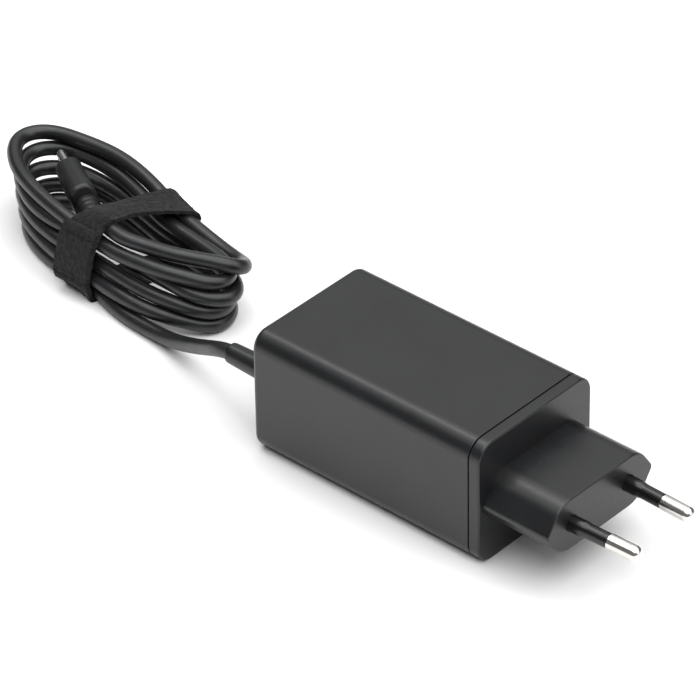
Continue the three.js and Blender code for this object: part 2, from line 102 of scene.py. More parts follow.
# ---- Cord: its line ------------------------------------------------------------------------

# From the strain relief down to the resting plane and along to the strap.
LEAD = [(-57.7, -10.5, 15.4), (-60.7, -10.2, 14.7), (-64.2, -9.2, 12.8), (-68.2, -7.7, 10.4),
        (-72.6, -6.1, 7.8), (-77.0, -4.8, 5.6), (-81.2, -3.8, 3.8), (-86.0, -2.9, 2.5),
        (-91.2, -2.3, 1.9), (-98.0, -1.8, 1.85), (-103.0, -0.9, 1.85), (-108.5, 0.6, 1.85)]
# One turn of the hank seen from above, from the strap's near side round the wide end and back.
TURN = [(-115.5, 2.8), (-125.0, 3.4), (-134.0, 5.4), (-141.5, 9.2), (-146.3, 14.6), (-147.5, 20.0),
        (-143.5, 24.6), (-136.0, 26.3), (-127.0, 25.9), (-117.5, 24.0), (-108.5, 22.0), (-99.5, 20.4),
        (-91.0, 19.3), (-84.0, 17.8), (-79.4, 15.0), (-78.1, 10.8), (-80.9, 6.6), (-85.5, 3.9),
        (-91.5, 2.3), (-98.5, 1.6), (-106.5, 1.9)]
TURNS = 5
# At these places along a turn, each turn's own shift in x and in y, and its height.
PLACES = {
    2.0: [(1.0, -0.5, 1.9), (0.6, -0.4, 5.5), (0.2, -0.2, 9.1), (0.3, -0.4, 13.0), (-2.5, 1.0, 16.8)],
    4.5: [(1.2, -0.9, 1.9), (-0.2, -0.6, 5.4), (-1.4, -0.3, 9.8), (-2.4, 0.2, 14.2), (-5.0, 0.8, 17.6)],
    7.0: [(0.6, -1.3, 1.9), (0.1, 0.4, 5.3), (-0.8, -0.8, 10.2), (-3.9, 0.8, 14.0), (-5.2, 0.6, 17.4)],
    8.5: [(0.5, -0.7, 1.9), (0.3, 0.2, 5.4), (-0.4, -0.5, 9.8), (-2.6, 1.4, 13.6), (-3.0, 2.8, 16.6)],
    10.0: [(0.0, 0.0, 1.9), (0.0, 0.0, 5.4), (0.0, -0.4, 9.4), (0.0, -0.6, 12.9), (-0.4, 1.6, 13.4)],
    12.5: [(0.0, 0.0, 1.9), (0.0, 0.0, 5.4), (0.0, 0.0, 9.0), (0.0, -0.6, 12.4), (-0.3, 2.4, 11.0)],
    14.3: [(-2.0, -1.4, 1.9), (-2.0, -1.4, 5.5), (0.0, -0.4, 9.0), (-1.8, 0.0, 12.4), (-1.9, 3.6, 13.2)],
    15.2: [(-2.0, -1.1, 2.0), (-1.6, -0.9, 5.6), (0.0, 0.0, 9.1), (-1.9, 0.8, 12.5), (0.0, 4.6, 15.4)],
    16.0: [(-1.0, -0.4, 2.6), (-0.8, 0.0, 6.1), (0.0, 0.6, 9.6), (-1.0, 1.5, 13.0), (0.3, 5.8, 16.5)],
    17.0: [(0.0, 0.2, 3.4), (0.0, 0.5, 6.9), (0.0, 1.2, 10.2), (0.0, 2.1, 13.9), (0.0, 6.2, 16.8)],
    18.5: [(0.0, -2.2, 4.8), (0.0, 0.1, 8.0), (0.0, 3.6, 10.4), (0.0, 1.4, 14.2), (0.0, 5.0, 16.8)],
    20.0: [(0.0, -2.0, 5.0), (0.0, 0.0, 8.8), (0.0, 4.4, 9.9), (0.0, 0.4, 14.0), (0.0, 2.2, 17.4)],
}
STEP = 1.3  # spacing of the points that are settled


def ease(t):
    t = min(max(t, 0.0), 1.0)
    return t * t * (3 - 2 * t)


def hank_points():
    knots = [(turn * len(TURN) + place, PLACES[place][turn]) for turn in range(TURNS) for place in PLACES]
    points = []
    for index in range(TURNS * len(TURN)):
        after = next((k for k in range(len(knots)) if knots[k][0] >= index), len(knots) - 1)
        before = max(after - 1, 0)
        (start, low), (end, high) = knots[before], knots[after]
        share = ease((index - start) / max(end - start, 1e-6))
        dx, dy, height = (a + (b - a) * share for a, b in zip(low, high))
        x, y = TURN[index % len(TURN)]
        points.append((x + dx, y + dy, height))
    return points


def curve_through(points, pieces=8):
    p = np.array(points, float)
    ends = np.vstack([2 * p[0] - p[1], p, 2 * p[-1] - p[-2]])
    out = []
    for i in range(1, len(ends) - 2):
        a, b, c, d = ends[i - 1:i + 3]
        for t in np.arange(pieces) / pieces:
            out.append(0.5 * (2 * b + (c - a) * t + (2 * a - 5 * b + 4 * c - d) * t * t
                              + (3 * b - a - 3 * c + d) * t ** 3))
    out.append(p[-1])
    return np.array(out)


def even_spacing(line, spacing):
    along = np.concatenate([[0], np.cumsum(np.linalg.norm(np.diff(line, axis=0), axis=1))])
    at = np.linspace(0, along[-1], int(round(along[-1] / spacing)) + 1)
    return np.stack([np.interp(at, along, line[:, k]) for k in range(3)], 1)


def soften(values, passes):
    for _ in range(passes):
        values[1:-1] = 0.5 * values[1:-1] + 0.25 * (values[:-2] + values[2:])
    return values


def settle(line, rounds=160):
    """Pushes overlapping turns apart to about a diameter, and keeps them above the floor."""
    target = soften(even_spacing(line, STEP), 8)
    x = target.copy()
    index = np.arange(len(x))
    apart = np.abs(index[:, None] - index[None, :]) > int(4.8 * CORD_R / STEP)
    free = np.minimum(1, np.minimum(index, len(x) - 1 - index) / 6)[:, None]
    want = 2 * CORD_R + 0.05
    for turn in range(rounds):
        offset = x[:, None, :] - x[None, :, :]
        distance = np.sqrt((offset ** 2).sum(2)) + 1e-9
        overlap = np.where(apart & (distance < want), want - distance, 0.0)
        push = (offset / distance[..., None] * overlap[..., None]).sum(1)
        x += 0.5 * push / np.maximum((overlap > 0).sum(1)[:, None], 1)
        x[:, 2] = np.maximum(x[:, 2], CORD_R + 0.02)
        moved = x - target
        if turn < rounds - 12:
            moved = soften(moved * free, 4) * 0.995
        else:
            moved = soften(moved, 1)
        x = target + moved
    x[:, 2] = np.maximum(x[:, 2], CORD_R + 0.02)
    return x


def cord_line():
    root, axis = np.array(PLUG_ROOT), np.array(PLUG_AXIS)
    points = list(LEAD) + hank_points()
    points += [(-112.0, 5.6, 17.9), tuple(root - 8 * axis), tuple(root - 3 * axis)]
    return settle(curve_through(points))


cord_path = cord_line()

# ---- Mesh helpers ----------------------------------------------------------------------------

def mesh_object(name, vertices, faces, sharp=35):
    """A mesh from points in millimetres, with its faces turned outwards and its normals smooth."""
    mesh = bpy.data.meshes.new(name)
    bm = bmesh.new()
    made = [bm.verts.new(Vector(v) * MM) for v in vertices]
    for face in faces:
        bm.faces.new([made[i] for i in face])
    bmesh.ops.recalc_face_normals(bm, faces=bm.faces)
    bm.to_mesh(mesh)
    bm.free()
    obj = bpy.data.objects.new(name, mesh)
    bpy.context.scene.collection.objects.link(obj)
    finish_normals(obj, sharp)
    return obj


def finish_normals(obj, sharp=35):
    mesh = obj.data
    mesh.polygons.foreach_set("use_smooth", [True] * len(mesh.polygons))
    mesh.set_sharp_from_angle(angle=math.radians(sharp))
    if "weighted" not in obj.modifiers:
        modifier = obj.modifiers.new("weighted", "WEIGHTED_NORMAL")
        modifier.keep_sharp = True
        modifier.weight = 90


def inset_corners(corners, inset):
    """A convex polygon's corners, counter-clockwise, with every side moved inwards."""
    sides = []
    for i, a in enumerate(corners):
        b = corners[(i + 1) % len(corners)]
        length = math.hypot(b[0] - a[0], b[1] - a[1])
        normal = ((a[1] - b[1]) / length, (b[0] - a[0]) / length)
        sides.append((normal, normal[0] * a[0] + normal[1] * a[1] + inset))
    out = []
    for i, (n, d) in enumerate(sides):
        m, e = sides[i - 1]
        det = m[0] * n[1] - m[1] * n[0]
        out.append(((e * n[1] - d * m[1]) / det, (m[0] * d - n[0] * e) / det))
    return out


def outline(shape, inset=0.0, steps=8):
    """The points of a rounded convex polygon: shape is its corners and their radii."""
    corners, radii = shape
    corners = inset_corners(corners, inset)
    out = []
    for i, corner in enumerate(corners):
        corner = Vector(corner)
        before = (Vector(corners[i - 1]) - corner).normalized()
        after = (Vector(corners[(i + 1) % len(corners)]) - corner).normalized()
        radius = max(radii[i] - inset, 0.12)
        half = before.angle(after) / 2
        centre = corner + (before + after).normalized() * radius / math.sin(half)
        start = corner + before * radius / math.tan(half) - centre
        turn = math.pi - 2 * half
        for k in range(steps + 1):
            angle = turn * k / steps
            out.append((centre.x + start.x * math.cos(angle) - start.y * math.sin(angle),
                        centre.y + start.x * math.sin(angle) + start.y * math.cos(angle)))
    return out


def loft_data(shape, stations, steps=8):
    """Rings of one outline at places along x, each drawn inwards by its own inset, closed at both ends."""
    vertices, faces = [], []
    count = 0
    for x, inset in stations:
        ring = outline(shape, inset, steps)
        count = len(ring)
        vertices += [(x, y, z) for y, z in ring]
    for r in range(len(stations) - 1):
        for k in range(count):
            a, b = r * count + k, r * count + (k + 1) % count
            faces.append((a, b, b + count, a + count))
    faces.append(tuple(range(count)))
    last = (len(stations) - 1) * count
    faces.append(tuple(range(last + count - 1, last - 1, -1)))
    return vertices, faces


def rounding(x, radius, side, steps=6, base=0.0):
    """Stations of an edge round: side -1 starts at the face at x, side 1 ends at it."""
    out = []
    for k in range(steps + 1):
        angle = math.pi / 2 * k / steps
        out.append((x - side * radius * (1 - math.cos(angle)), base + radius * (1 - math.sin(angle))))
    return out if side < 0 else out[::-1]


def turned_data(profile, segments=48):
    """A solid turned about x: profile points are (x, radius), starting and ending on the axis."""
    vertices, rings = [], []
    for x, radius in profile:
        if radius < 1e-6:
            rings.append([len(vertices)] * segments)
            vertices.append((x, 0, 0))
        else:
            rings.append(list(range(len(vertices), len(vertices) + segments)))
            for k in range(segments):
                angle = 2 * math.pi * k / segments
                vertices.append((x, radius * math.cos(angle), radius * math.sin(angle)))
    faces = []
    for a, b in zip(rings, rings[1:]):
        for k in range(segments):
            j = (k + 1) % segments
            face = list(dict.fromkeys((a[k], a[j], b[j], b[k])))
            if len(face) > 2:
                faces.append(tuple(face))
    return vertices, faces


def moved(data, place):
    """The same shape's points taken through a matrix."""
    vertices, faces = data
    return [tuple(place @ Vector(v)) for v in vertices], faces


def boolean(obj, operation, *tools):
    """Joins or cuts an object with others, applies it, and removes the others."""
    for tool in tools:
        modifier = obj.modifiers.new("cut", "BOOLEAN")
        modifier.operation = operation
        modifier.solver = "EXACT"
        modifier.object = tool
        obj.modifiers.move(len(obj.modifiers) - 1, 0)
        dg = bpy.context.evaluated_depsgraph_get()
        weighted = obj.modifiers.get("weighted")
        if weighted:
            obj.modifiers.remove(weighted)
        dg.update()
        result = bpy.data.meshes.new_from_object(obj.evaluated_get(dg))
        obj.modifiers.clear()
        obj.data = result
        bpy.data.objects.remove(tool)
    bm = bmesh.new()
    bm.from_mesh(obj.data)
    bmesh.ops.remove_doubles(bm, verts=bm.verts, dist=2e-6)
    bmesh.ops.dissolve_degenerate(bm, edges=bm.edges, dist=1e-6)
    bm.to_mesh(obj.data)
    bm.free()
    finish_normals(obj)
    return obj


def tube_data(line, radii, sides=20):
    """A tube along a line of points, closed at both ends, with a frame that doesn't twist."""
    line = [Vector(p) for p in line]
    tangents = []
    for i in range(len(line)):
        a, b = line[max(i - 1, 0)], line[min(i + 1, len(line) - 1)]
        tangents.append((b - a).normalized())
    side = tangents[0].cross(Vector((0, 0, 1))).normalized()
    vertices, faces = [], []
    for point, tangent, radius in zip(line, tangents, radii):
        side = (side - tangent * side.dot(tangent)).normalized()
        other = tangent.cross(side)
        for k in range(sides):
            angle = 2 * math.pi * k / sides
            vertices.append(point + (side * math.cos(angle) + other * math.sin(angle)) * radius)
    for r in range(len(line) - 1):
        for k in range(sides):
            a, b = r * sides + k, r * sides + (k + 1) % sides
            faces.append((a, b, b + sides, a + sides))
    faces.append(tuple(range(sides)))
    last = (len(line) - 1) * sides
    faces.append(tuple(range(last + sides - 1, last - 1, -1)))
    return [tuple(v) for v in vertices], faces


# ---- Materials ---------------------------------------------------------------------------------

def new_material(name):
    material = bpy.data.materials.new(name)
    material.use_nodes = True
    nodes, links = material.node_tree.nodes, material.node_tree.links
    shader = nodes["Principled BSDF"]
    where = nodes.new("ShaderNodeTexCoord").outputs["Object"]
    return material, nodes, links, shader, where


def noise(nodes, links, where, scale, detail=2.0, stretch=None):
    if stretch:
        mapping = nodes.new("ShaderNodeMapping")
        mapping.inputs["Scale"].default_value = stretch
        links.new(where, mapping.inputs["Vector"])
        where = mapping.outputs["Vector"]
    node = nodes.new("ShaderNodeTexNoise")
    node.inputs["Scale"].default_value = scale
    node.inputs["Detail"].default_value = detail
    links.new(where, node.inputs["Vector"])
    return node.outputs["Fac"]


def tint(nodes, links, factor, dark, light, low=0.35, high=0.65):
    ramp = nodes.new("ShaderNodeValToRGB")
    ramp.color_ramp.elements[0].position = low
    ramp.color_ramp.elements[1].position = high
    ramp.color_ramp.elements[0].color = (*dark, 1)
    ramp.color_ramp.elements[1].color = (*light, 1)
    links.new(factor, ramp.inputs["Fac"])
    return ramp.outputs["Color"]


def spread(nodes, links, factor, low, high):
    node = nodes.new("ShaderNodeMapRange")
    node.inputs["From Min"].default_value = 0.3
    node.inputs["From Max"].default_value = 0.7
    node.inputs["To Min"].default_value = low
    node.inputs["To Max"].default_value = high
    links.new(factor, node.inputs["Value"])
    return node.outputs["Result"]


def bump(nodes, links, shader, *layers):
    """Raises the surface by each layer: (height, distance in metres, strength)."""
    normal = None
    for height, distance, strength in layers:
        node = nodes.new("ShaderNodeBump")
        node.inputs["Distance"].default_value = distance
        node.inputs["Strength"].default_value = strength
        links.new(height, node.inputs["Height"])
        if normal:
            links.new(normal, node.inputs["Normal"])
        normal = node.outputs["Normal"]
    links.new(normal, shader.inputs["Normal"])


def shaded(colour, factor):
    return tuple(min(c * factor, 1.0) for c in colour)


def colour_by(nodes, links, shader, factor, dark, light):
    links.new(tint(nodes, links, factor, dark, light), shader.inputs["Base Color"])


def plastic(name, colour, rough, grain=0.00022, depth=0.000006, specular=0.5):
    """Moulded plastic: a fine spark-eroded grain, faint clouding, and gloss that varies a little."""
    material, nodes, links, shader, where = new_material(name)
    cloud = noise(nodes, links, where, 90, 3)
    colour_by(nodes, links, shader, cloud, shaded(colour, 0.86), shaded(colour, 1.14))
    gloss = noise(nodes, links, where, 700, 3)
    links.new(spread(nodes, links, gloss, rough - 0.035, rough + 0.035), shader.inputs["Roughness"])
    shader.inputs["IOR"].default_value = 1.5
    shader.inputs["Specular IOR Level"].default_value = specular
    fine = noise(nodes, links, where, 1 / grain, 2)
    coarse = noise(nodes, links, where, 0.22 / grain, 2)
    bump(nodes, links, shader, (coarse, depth * 2, 0.35), (fine, depth, 0.5))
    return material


def jacket(name, colour, rough):
    """Extruded cable jacket: satin, with faint drag marks and small dimples."""
    material, nodes, links, shader, where = new_material(name)
    cloud = noise(nodes, links, where, 160, 3)
    colour_by(nodes, links, shader, cloud, shaded(colour, 0.8), shaded(colour, 1.2))
    gloss = noise(nodes, links, where, 1200, 3)
    links.new(spread(nodes, links, gloss, rough - 0.06, rough + 0.06), shader.inputs["Roughness"])
    shader.inputs["IOR"].default_value = 1.5
    dimples = noise(nodes, links, where, 2600, 2)
    waves = noise(nodes, links, where, 260, 1)
    bump(nodes, links, shader, (waves, 0.00008, 0.3), (dimples, 0.00001, 0.4))
    return material


def metal(name, colour, rough, stretch=(40.0, 1.0, 1.0), scale=900):
    """Drawn or plated metal: fine lines left by the tool, and small changes of gloss."""
    material, nodes, links, shader, where = new_material(name)
    cloud = noise(nodes, links, where, 300, 3)
    colour_by(nodes, links, shader, cloud, shaded(colour, 0.92), shaded(colour, 1.06))
    shader.inputs["Metallic"].default_value = 1.0
    lines = noise(nodes, links, where, scale, 3, stretch)
    links.new(spread(nodes, links, lines, rough - 0.04, rough + 0.06), shader.inputs["Roughness"])
    bump(nodes, links, shader, (lines, 0.000004, 0.35))
    return material


def nap(name, colour):
    """Hook-and-loop tape: a mat of tiny loops, matt and slightly woolly."""
    material, nodes, links, shader, where = new_material(name)
    cells = nodes.new("ShaderNodeTexVoronoi")
    cells.inputs["Scale"].default_value = 2400
    links.new(where, cells.inputs["Vector"])
    tufts = noise(nodes, links, where, 900, 4)
    colour_by(nodes, links, shader, tufts, shaded(colour, 0.55), shaded(colour, 1.5))
    links.new(spread(nodes, links, tufts, 0.9, 1.0), shader.inputs["Roughness"])
    shader.inputs["Specular IOR Level"].default_value = 0.15
    shader.inputs["Sheen Weight"].default_value = 0.12
    shader.inputs["Sheen Roughness"].default_value = 0.5
    bump(nodes, links, shader, (tufts, 0.0003, 0.6), (cells.outputs["Distance"], 0.00012, 0.8))
    return material


def wound(name, colour, rough):
    """Enamelled wire wound in layers: a ridge for every wire, with painted shade darkening the grooves
    between the wires.
    """
    material, nodes, links, shader, where = new_material(name)
    wire = nodes.new("ShaderNodeTexWave")
    wire.bands_direction = "Z"
    wire.inputs["Scale"].default_value = 900
    wire.inputs["Distortion"].default_value = 0.6
    links.new(where, wire.inputs["Vector"])
    # painted shade: the colour darkens to half in the grooves between wires, following the same wave as the
    # bump
    colour_by(nodes, links, shader, wire.outputs["Fac"], shaded(colour, 0.5), colour)
    shader.inputs["Metallic"].default_value = 0.8
    gloss = noise(nodes, links, where, 800, 2)
    links.new(spread(nodes, links, gloss, rough - 0.05, rough + 0.1), shader.inputs["Roughness"])
    bump(nodes, links, shader, (wire.outputs["Fac"], 0.00006, 0.8))
    return material


MATERIALS = {
    "housing_black": plastic("housing_plastic", (0.0085, 0.009, 0.01), 0.34),
    "plug_black": plastic("plug_plastic", (0.010, 0.0105, 0.011), 0.42, 0.00016),
    "sleeve_black": plastic("sleeve_plastic", (0.006, 0.006, 0.0065), 0.24, 0.0001, 0.000002),
    "pin_nickel": metal("pin_nickel", (0.78, 0.76, 0.72), 0.16),
    "terminal_brass": metal("terminal_brass", (0.72, 0.56, 0.29), 0.32),
    "cord_jacket": jacket("cord_jacket", (0.010, 0.0105, 0.0115), 0.36),
    "strap_fabric": nap("strap_fabric", (0.013, 0.013, 0.013)),
    "plug_steel": metal("plug_steel", (0.62, 0.63, 0.65), 0.22, (1.0, 30.0, 1.0)),
    "contact_gold": metal("contact_gold", (0.83, 0.66, 0.33), 0.25),
    "board_green": plastic("board_green", (0.03, 0.16, 0.07), 0.4, 0.0006),
    "ferrite_grey": plastic("ferrite_grey", (0.07, 0.07, 0.075), 0.75, 0.0003, 0.00002),
    "winding_copper": wound("winding_copper", (0.60, 0.30, 0.16), 0.35),
    "component_black": plastic("component_black", (0.02, 0.02, 0.02), 0.55),
    "component_blue": plastic("component_blue", (0.05, 0.16, 0.42), 0.4, 0.0005),
    "component_yellow": plastic("component_yellow", (0.60, 0.42, 0.06), 0.5, 0.0005),
    "can_sleeve": plastic("can_sleeve", (0.02, 0.03, 0.06), 0.3, 0.0004),
    "heat_aluminium": metal("heat_aluminium", (0.62, 0.63, 0.64), 0.35, (1.0, 1.0, 40.0)),
    "liner_film": plastic("liner_film", (0.78, 0.72, 0.55), 0.35, 0.0008),
    "wire_red": jacket("wire_red", (0.4, 0.03, 0.02), 0.45),
    "wire_black": jacket("wire_black", (0.02, 0.02, 0.02), 0.45),
}

for part in frame["record"]["subparts"]:
    node = frame["nodes"][part["node"]]
    node.data.materials.clear()
    node.data.materials.append(MATERIALS[part["material_slot"]])


def add_piece(obj, slot, *nodes, body=BODY):
    obj.data.materials.clear()
    obj.data.materials.append(MATERIALS[slot])
    if nodes:
        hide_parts(*nodes)
    if body:
        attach(obj, body)
    return obj


# ---- Cord: the tube ------------------------------------------------------------------------------

fine_path = even_spacing(curve_through(cord_path, 3), 0.9)
cord = mesh_object("cable", *tube_data(fine_path, [CORD_R] * len(fine_path)))
add_piece(cord, "cord_jacket", "cord_lead", "cord_hank", "cord_tail")

# ---- Housing ----------------------------------------------------------------------------------------

BODY_SHAPE = ([(-BODY_W / 2, 0), (BODY_W / 2, 0), (BODY_W / 2, BODY_H), (-BODY_W / 2, BODY_H)], [BODY_R] * 4)
NOSE_SHAPE = (
    [(-NOSE_FLAT / 2, MID_Z - NOSE_H / 2), (NOSE_FLAT / 2, MID_Z - NOSE_H / 2), (NOSE_W / 2, MID_Z),
     (NOSE_FLAT / 2, MID_Z + NOSE_H / 2), (-NOSE_FLAT / 2, MID_Z + NOSE_H / 2), (-NOSE_W / 2, MID_Z)],
    [6.5, 6.5, 1.4, 6.5, 6.5, 1.4])


def along_x(radius, x0, x1, y, z, segments=48):
    """A plain round bar along x, used as a cutter."""
    bar = turned_data([(x0, 0), (x0, radius), (x1, radius), (x1, 0)], segments)
    return moved(bar, Matrix.Translation((0, y, z)))


def make_housing():
    stations = rounding(BACK_X, BACK_EDGE, -1, 8)
    stations += rounding(SEAM_X, 0.22, 1, 3)
    stations += [(SEAM_X, WALL), (BACK_X + WALL, WALL)]
    housing = mesh_object("housing", *loft_data(BODY_SHAPE, stations, 10))
    hole = mesh_object("hole", *along_x(2.62, BACK_X - 3, BACK_X + WALL + 1, EXIT[1], EXIT[2]))
    boolean(housing, "DIFFERENCE", hole)
    return add_piece(housing, "housing_black", "main_housing")


def make_cap():
    back = FRONT_X - CAP_T
    plate = rounding(back, 0.2, -1, 3) + rounding(FRONT_X, 0.5, 1, 5)
    cap = mesh_object("cap", *loft_data(BODY_SHAPE, plate, 10))
    lip = WALL + 0.3
    skirt = mesh_object("skirt", *loft_data(BODY_SHAPE, [(back - 4, lip), (FRONT_X - 1, lip)], 10))
    nose_stations = [(FRONT_X - 1, 0)] + rounding(NOSE_X, 0.45, 1, 5)
    nose = mesh_object("nose", *loft_data(NOSE_SHAPE, nose_stations, 12))
    boolean(cap, "UNION", skirt, nose)
    skirt_bore = mesh_object("bore", *loft_data(BODY_SHAPE, [(back - 9, 3.6), (FRONT_X - 1.9, 3.6)], 10))
    nose_bore = mesh_object("nose_bore", *loft_data(NOSE_SHAPE, [(FRONT_X - 6, 1.7), (NOSE_X - 2, 1.7)], 12))
    holes = [mesh_object(f"hole_{s}", *along_x(SLEEVE_R + 0.08, NOSE_X - 4, NOSE_X + 2, s * PIN_Y, MID_Z))
             for s in (-1, 1)]
    boolean(cap, "DIFFERENCE", skirt_bore, nose_bore, *holes)
    return add_piece(cap, "housing_black", "front_cap")


def lean(side):
    """Places a turned pin piece: it starts on the nose's face and leans towards the other pin."""
    return Matrix.Translation((NOSE_X, side * PIN_Y, MID_Z)) @ Matrix.Rotation(-side * PIN_TILT, 4, "Z")


def make_pins():
    tip = [(PIN_LEN - 1.5 * (1 - math.sin(a)), PIN_R - 1.5 + 1.5 * math.cos(a))
           for a in (math.pi / 2 * k / 8 for k in range(9))]
    pin = [(-11, 0), (-11, 1.35), (SLEEVE_LEN - 0.05, 1.35), (SLEEVE_LEN, 1.75), (SLEEVE_LEN + 0.1, PIN_R)]
    pin += tip + [(PIN_LEN, 0)]
    bore = 1.42
    segments = 56
    sleeve = [(-8, bore), (-8, SLEEVE_R), (3.0, SLEEVE_R), (3.5, SLEEVE_R - 0.02),
              (4.3, SLEEVE_TIP_R + 0.02), (4.8, SLEEVE_TIP_R),
              (SLEEVE_LEN - 0.2, SLEEVE_TIP_R), (SLEEVE_LEN - 0.03, SLEEVE_TIP_R - 0.12),
              (SLEEVE_LEN - 0.03, bore)]
    for name, side in (("left", 1), ("right", -1)):
        obj = mesh_object(f"pin_{name}", *moved(turned_data(pin, segments), lean(side)))
        add_piece(obj, "pin_nickel", f"contact_pin_{name}")
        vertices, faces = turned_data(sleeve, segments)
        last = (len(sleeve) - 1) * segments
        faces += [(last + k, last + (k + 1) % segments, (k + 1) % segments, k) for k in range(segments)]
        obj = mesh_object(f"sleeve_{name}", *moved((vertices, faces), lean(side)))
        add_piece(obj, "sleeve_black", f"pin_sleeve_{name}")


def make_relief():
    """The tapered strain relief: a collar against the housing, a long taper and a rolled lip."""
    length = 13.6
    profile = [(2 + 2.1, 0), (2 + 2.1, 4.0), (2 + 1.9, 4.2), (2.5, 4.2), (2.3, 4.0), (2.3, 2.45), (0.0, 2.45)]
    profile += [(-0.05, 2.9), (-0.3, 3.0), (-0.9, 3.0), (-1.2, 2.9)]
    profile += [(-1.2 - k, 2.86 - 0.034 * k) for k in range(1, 11)]
    profile += [(-length + 0.9, 2.46), (-length + 0.5, 2.45), (-length + 0.12, 2.34), (-length, 2.15),
                (-length, 1.86), (-length + 3, 1.84), (-length + 3, 0)]
    place = Matrix.Translation((BACK_X, EXIT[1], EXIT[2]))
    relief = mesh_object("relief", *moved(turned_data(profile), place))
    return add_piece(relief, "housing_black", "strain_relief")


make_housing()
make_cap()
make_pins()
make_relief()

# ---- USB-C plug ---------------------------------------------------------------------------------------

plug_place = Matrix((PLUG_AXIS, PLUG_WIDE, PLUG_THIN)).transposed().to_4x4()
plug_place.translation = PLUG_ROOT


def box_shape(width, thickness, radius):
    w, t = width / 2, thickness / 2
    return [(-w, -t), (w, -t), (w, t), (-w, t)], [radius] * 4


def make_plug():
    grip = rounding(0, 1.1, -1, 6) + rounding(OVERMOULD_LEN, 0.5, 1, 4)
    pocket = [(OVERMOULD_LEN, 0.85), (OVERMOULD_LEN - 2, 0.85)]
    grip_shape = box_shape(10.2, 6.2, 2.6)
    overmould = mesh_object("plug_grip", *moved(loft_data(grip_shape, grip, 10), plug_place))
    mouth = mesh_object("mouth", *moved(
        loft_data(box_shape(8.5, 2.7, 1.3), [(OVERMOULD_LEN - 8, 0), (OVERMOULD_LEN + 3, 0)], 8), plug_place))
    boolean(overmould, "DIFFERENCE", mouth)
    add_piece(overmould, "plug_black", "plug_overmould")
    shell = [(OVERMOULD_LEN - 2, 0), (OVERMOULD_LEN + 6.35, 0), (OVERMOULD_LEN + 6.57, 0.08),
             (OVERMOULD_LEN + 6.65, 0.2), (OVERMOULD_LEN + 6.5, 0.3), (OVERMOULD_LEN - 2, 0.3)]
    vertices, faces = loft_data(box_shape(8.25, 2.4, 1.15), shell, 10)
    faces = faces[:-2]
    count = len(vertices) // len(shell)
    last = len(vertices) - count
    faces += [(last + k, last + (k + 1) % count, (k + 1) % count, k) for k in range(count)]
    case = mesh_object("plug_case", *moved((vertices, faces), plug_place))
    add_piece(case, "plug_steel", "plug_shell")
    profile = [(0.6, 0), (0.6, 2.5), (-0.3, 2.7), (-1.6, 2.55), (-2.0, 2.3), (-2.3, 2.3), (-2.7, 2.5),
               (-3.4, 2.45), (-3.8, 2.2), (-4.1, 2.2), (-4.5, 2.38), (-5.2, 2.33), (-5.9, 2.28), (-6.2, 2.15),
               (-6.3, 1.95), (-6.3, 1.85), (-5.6, 1.83), (-5.6, 0)]
    relief = mesh_object("plug_relief", *moved(turned_data(profile), plug_place))
    add_piece(relief, "plug_black", "plug_strain_relief")
    return overmould, case, relief


plug_pieces = make_plug()

# ---- Strap --------------------------------------------------------------------------------------------

STRAP_X, STRAP_SLANT = -115.2, 1 / 3
STRAP_HALF = 5.2
TAPE = 0.95
ANGLES = 360


def hull_reach(offset):
    """How far the cords reach in each direction from the hank's middle, where the strap crosses them."""
    x, y, z = cord_path.T
    away = x - (STRAP_X + offset + STRAP_SLANT * y)
    near = np.abs(away) < 1.6
    angle = np.linspace(0, 2 * math.pi, ANGLES, endpoint=False)
    reach = np.outer(y[near], np.cos(angle)) + np.outer(z[near], np.sin(angle))
    return reach.max(0) + CORD_R


def strap_sections(stations):
    """For each place across the strap, its inner line round the hank, and the directions it faces."""
    reach = np.array([hull_reach(offset) for offset in stations])
    for _ in range(3):
        reach[1:-1] = 0.5 * reach[1:-1] + 0.25 * (reach[:-2] + reach[2:])
    angle = np.linspace(0, 2 * math.pi, ANGLES, endpoint=False)
    for _ in range(40):
        reach = 0.5 * reach + 0.25 * (np.roll(reach, 1, 1) + np.roll(reach, -1, 1))
    slope = (np.roll(reach, -1, 1) - np.roll(reach, 1, 1)) / (2 * angle[1])
    y = reach * np.cos(angle) - slope * np.sin(angle)
    z = reach * np.sin(angle) + slope * np.cos(angle)
    return y, z, angle


ACROSS = 25


def make_strap():
    across = np.linspace(-1, 1, ACROSS) * STRAP_HALF
    inner_y, inner_z, angle = strap_sections(across)
    normal = np.stack([np.cos(angle), np.sin(angle)], 1)
    rng = np.random.default_rng(7)
    sides = []
    for lift in (0.0, TAPE):
        y = inner_y + normal[:, 0] * lift
        z = np.maximum(inner_z + normal[:, 1] * lift, 0.6 - 0.55 * lift / TAPE)
        fuzz = rng.normal(0, 0.045, y.shape) if lift else 0.0
        y, z = y + fuzz * normal[:, 0], z + fuzz * np.maximum(normal[:, 1], 0)
        edge = rng.normal(0, 0.1, y.shape) * (np.abs(across)[:, None] > STRAP_HALF - 0.3)
        narrowed = 1 - 0.3 * np.exp(-((y - 14) / 8) ** 2) * (z > 8)
        x = STRAP_X + across[:, None] * narrowed + STRAP_SLANT * y + edge
        sides.append(np.stack([x, y, z], 2))
    inner, outer = sides
    count = len(angle)
    vertices = [tuple(v) for v in inner.reshape(-1, 3)] + [tuple(v) for v in outer.reshape(-1, 3)]
    base = ACROSS * count
    faces = []
    for k in range(count):
        j = (k + 1) % count
        for r in range(ACROSS - 1):
            a, b, c, d = r * count + k, r * count + j, (r + 1) * count + j, (r + 1) * count + k
            faces += [(a, d, c, b), (base + a, base + b, base + c, base + d)]
        last = (ACROSS - 1) * count
        faces += [(k, j, base + j, base + k), (last + k, base + last + k, base + last + j, last + j)]
    strap = mesh_object("strap", vertices, faces, 60)
    add_piece(strap, "strap_fabric", "hank_strap")
    return strap, outer, angle, normal


